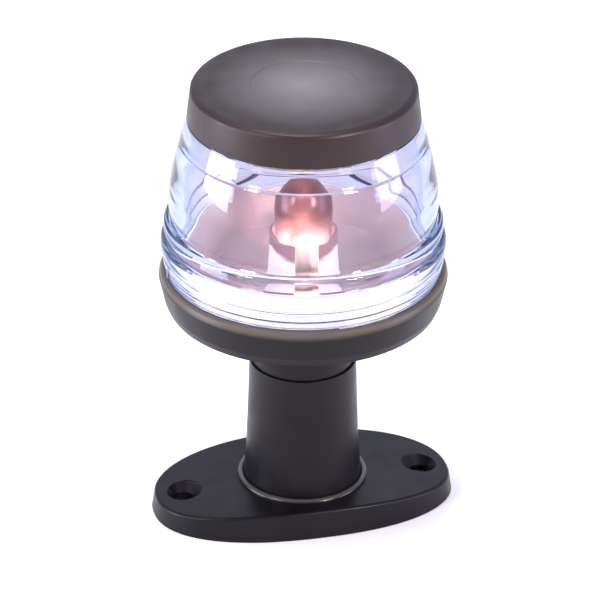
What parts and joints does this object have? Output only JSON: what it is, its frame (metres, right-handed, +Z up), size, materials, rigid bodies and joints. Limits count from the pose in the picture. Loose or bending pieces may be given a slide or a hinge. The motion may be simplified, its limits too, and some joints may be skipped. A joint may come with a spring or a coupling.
{
  "type": "all-round navigation light",
  "caption": "All-round marine navigation light on a short pedestal, with an oval screw-down base, a clear ribbed screw-off lens, a black cap and a bayonet bulb.",
  "frame": {"origin": "middle of the base's flat underside, on the axis of the column and lens", "axes": "+Z up along the column and lens, +X along the oval base through both deck screws, +Y across it"},
  "size_m": [0.08, 0.0744, 0.121],
  "materials": {
    "black_plastic": "fine moulded texture, satin",
    "clear_lens": "clear polished polycarbonate with a faint blue cast",
    "white_plastic": "satin moulded",
    "phenolic": "pressed paper laminate",
    "rubber": "moulded matt",
    "nickel_plate": "bright nickel plate",
    "brass": "stamped and turned",
    "solder": "dull solder",
    "stainless": "cold-formed stainless steel",
    "bulb_glass": "blown glass, faintly frosted, with a darkened crown",
    "bead_glass": "black fused glass",
    "tungsten": "coiled wire, lit"
  },
  "bodies": {
    "base": {"pedestal": "black_plastic", "cable_grommet": "rubber", "retaining_screw": "stainless", "head_body": "black_plastic", "neck_seal": "rubber", "holder_plate": "white_plastic", "holder_bracket": "nickel_plate", "lampholder_shell": "white_plastic", "holder_base_disc": "phenolic", "negative_terminal": "brass", "holder_screw_left": "stainless", "holder_screw_right": "stainless", "contact_spring": "stainless"},
    "seal": {"lens_seal": "rubber"},
    "lens_unit": {"lens": "clear_lens", "cap": "black_plastic", "cap_seal": "rubber"},
    "plunger": {"contact_plunger": "phenolic", "centre_contact": "brass"},
    "bulb": {"bulb_cap": "nickel_plate", "bulb_insulator": "bead_glass", "bulb_contact": "solder", "bulb_glass": "bulb_glass", "bulb_stem": "bulb_glass", "filament": "tungsten", "filament_post_left": "nickel_plate", "filament_post_right": "nickel_plate"}
  },
  "joints": [
    {"name": "lens_turn", "type": "hinge", "parent": "base", "child": "seal", "pos_m": [0, 0, 0.065], "axis": [0, 0, 1], "range_deg": [0, 75]},
    {"name": "lens_rise", "type": "slide", "parent": "seal", "child": "lens_unit", "axis": [0, 0, 1], "range_m": [0, 0.005]},
    {"name": "bulb_push", "type": "slide", "parent": "base", "child": "plunger", "axis": [0, 0, -1], "range_m": [0, 0.0012], "stiffness_N_per_m": 1500, "springref_m": -0.004, "deforming": ["contact_spring"]},
    {"name": "bulb_twist", "type": "hinge", "parent": "plunger", "child": "bulb", "pos_m": [0, 0, 0.0575], "axis": [0, 0, 1], "range_deg": [0, 18]}
  ],
  "couplings": [
    {"joint": "lens_rise", "follows": "lens_turn", "m_per_rad": 0.0038197}
  ]
}
